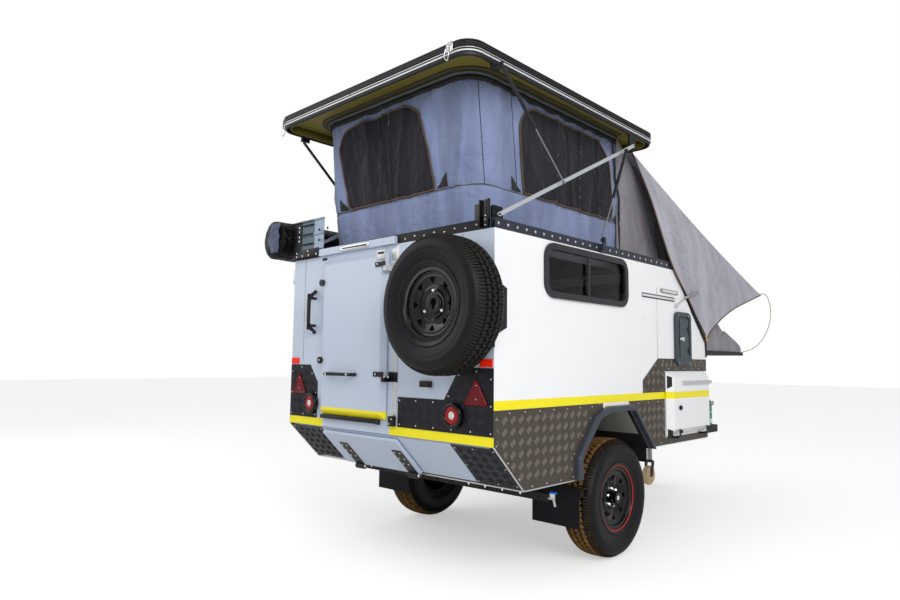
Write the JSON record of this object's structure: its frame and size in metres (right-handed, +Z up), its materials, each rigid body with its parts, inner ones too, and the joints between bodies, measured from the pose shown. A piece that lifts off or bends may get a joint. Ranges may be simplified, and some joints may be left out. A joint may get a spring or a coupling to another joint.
{
  "type": "off-road camper trailer",
  "caption": "Boxy off-road camper trailer with a hard roof raised on arms over a canvas tent, a nose bed under an awning, rear and side hatches, a spare wheel and a jockey stand.",
  "frame": {"origin": "centre of the towing ball inside the coupling head", "axes": "+X forwards along the drawbar, +Y to the left, +Z up"},
  "size_m": [4.8945, 2.4145, 3.122],
  "materials": {
    "black_steel": "satin black powder coat",
    "floor_board": "sealed plywood",
    "white_panel": "gloss white panel with yellow stripes",
    "arch_grey": "light grey sheet",
    "flare_rubber": "black moulded rubber",
    "tread_plate": "dark coated patterned plate",
    "window_rubber": "black seal",
    "dark_glass": "tinted acrylic",
    "red_lens": "red lens",
    "utility_grey": "dark blue grey moulding",
    "tyre_rubber": "dusty all terrain rubber",
    "rim_black": "gloss black steel",
    "awning_pvc": "coated black cloth",
    "aluminium": "brushed",
    "tap_brass": "plated, with a blue lever",
    "bottle_green": "gloss green",
    "zinc": "zinc plate",
    "cream_plastic": "cream moulding",
    "bed_board": "dark faced board",
    "canvas": "grey blue canvas",
    "spring_steel": "spring wire",
    "roof_black": "ribbed black moulding",
    "cylinder_black": "black",
    "rod_steel": "polished"
  },
  "bodies": {
    "trailer": {"arch_flares": "flare_rubber", "awning_bag": "awning_pvc", "awning_brackets": "aluminium", "axle_beam": "black_steel", "bed_platform": "bed_board", "body_fittings": "black_steel", "chassis_frame": "black_steel", "coupling_head": "black_steel", "deck_ring": "white_panel", "drawbar": "black_steel", "floor_panels": "floor_board", "fly_sheet": "canvas", "front_tray": "black_steel", "front_wall": "white_panel", "gas_bottle": "bottle_green", "jockey_clamp": "zinc", "kitchen_box": "arch_grey", "leaf_springs": "black_steel", "mudflaps": "flare_rubber", "nose_frame": "white_panel", "nose_tent": "canvas", "rear_lamps": "red_lens", "rear_skirt": "white_panel", "rear_wall": "white_panel", "roof_rails": "black_steel", "side_wall_left": "white_panel", "side_wall_right": "white_panel", "spare_carrier": "black_steel", "spare_rim": "rim_black", "spare_tyre": "tyre_rubber", "spring_rods": "spring_steel", "tent_walls": "canvas", "tread_plates": "tread_plate", "under_bars": "black_steel", "utility_box": "utility_grey", "water_tap": "tap_brass", "wheel_arches": "arch_grey", "window_frames": "window_rubber", "window_glass": "dark_glass"},
    "wheel_left": {"tyre_left": "tyre_rubber", "rim_left": "rim_black"},
    "wheel_right": {"tyre_right": "tyre_rubber", "rim_right": "rim_black"},
    "rear_door": {"rear_door": "white_panel", "door_fittings": "black_steel"},
    "step_hatch": {"step_hatch": "white_panel", "step_hinges": "black_steel"},
    "kitchen_hatch": {"kitchen_hatch": "white_panel", "kitchen_fittings": "black_steel"},
    "lift_arms": {"lift_arms": "aluminium"},
    "roof": {"roof_shell": "roof_black", "roof_fittings": "roof_black"},
    "upper_cylinders": {"upper_cylinders": "cylinder_black"},
    "upper_rods": {"upper_rods": "rod_steel"},
    "lower_cylinders": {"lower_cylinders": "cylinder_black"},
    "lower_rods": {"lower_rods": "rod_steel"},
    "jockey_leg": {"jockey_leg": "zinc"},
    "jockey_fork": {"jockey_fork": "black_steel"},
    "jockey_wheel": {"jockey_wheel": "cream_plastic"}
  },
  "joints": [
    {"name": "wheel_left_spin", "type": "hinge", "parent": "trailer", "child": "wheel_left", "pos_m": [-3.1, 0.854, -0.215], "axis": [0, 1, 0], "continuous": true},
    {"name": "wheel_right_spin", "type": "hinge", "parent": "trailer", "child": "wheel_right", "pos_m": [-3.1, -0.854, -0.215], "axis": [0, 1, 0], "continuous": true},
    {"name": "door_swing", "type": "hinge", "parent": "trailer", "child": "rear_door", "pos_m": [-4.496, -0.113, 0.325], "axis": [0, 0, 1], "range_deg": [0, 105]},
    {"name": "step_drop", "type": "hinge", "parent": "trailer", "child": "step_hatch", "pos_m": [-4.21632, 0.19, -0.03462], "axis": [0, -1, 0], "range_deg": [0, 45]},
    {"name": "kitchen_drop", "type": "hinge", "parent": "trailer", "child": "kitchen_hatch", "pos_m": [-2.0525, -1.037, 0.146], "axis": [1, 0, 0], "range_deg": [0, 90]},
    {"name": "arm_lift", "type": "hinge", "parent": "trailer", "child": "lift_arms", "pos_m": [-4.389, 0, 1.52], "axis": [0, 1, 0], "range_deg": [0, 26.66], "deforming": ["tent_walls", "nose_tent", "fly_sheet", "spring_rods"]},
    {"name": "roof_level", "type": "hinge", "parent": "lift_arms", "child": "roof", "pos_m": [-2.82237, 0, 2.30656], "axis": [0, 1, 0], "range_deg": [-26.67, 0.01]},
    {"name": "upper_cylinder_turn", "type": "hinge", "parent": "roof", "child": "upper_cylinders", "pos_m": [-4.409, 0, 2.385], "axis": [0, 1, 0], "range_deg": [-33.11, 0]},
    {"name": "upper_rod_slide", "type": "slide", "parent": "upper_cylinders", "child": "upper_rods", "axis": [0.7455, 0, -0.6665], "range_m": [-0.32233, 0.00001]},
    {"name": "lower_cylinder_turn", "type": "hinge", "parent": "lift_arms", "child": "lower_cylinders", "pos_m": [-2.98055, 0, 2.22714], "axis": [0, 1, 0], "range_deg": [0, 36.52]},
    {"name": "lower_rod_slide", "type": "slide", "parent": "lower_cylinders", "child": "lower_rods", "axis": [-0.4481, 0, -0.894], "range_m": [-0.27038, 0.00001]},
    {"name": "jockey_jack", "type": "slide", "parent": "trailer", "child": "jockey_leg", "axis": [0, 0, 1], "range_m": [-0.08, 0.14]},
    {"name": "jockey_swivel", "type": "hinge", "parent": "jockey_leg", "child": "jockey_fork", "pos_m": [-0.38, 0.19, -0.51], "axis": [0, 0, 1], "continuous": true},
    {"name": "jockey_roll", "type": "hinge", "parent": "jockey_fork", "child": "jockey_wheel", "pos_m": [-0.415, 0.19, -0.51], "axis": [0, 1, 0], "continuous": true}
  ],
  "couplings": [
    {"joint": "roof_level", "follows": "arm_lift", "ratio": -1},
    {"joint": "upper_cylinder_turn", "follows": "arm_lift", "ratio": -1.2414},
    {"joint": "upper_rod_slide", "follows": "arm_lift", "m_per_rad": -0.69236},
    {"joint": "lower_cylinder_turn", "follows": "arm_lift", "ratio": 1.3691},
    {"joint": "lower_rod_slide", "follows": "arm_lift", "m_per_rad": -0.58077}
  ]
}
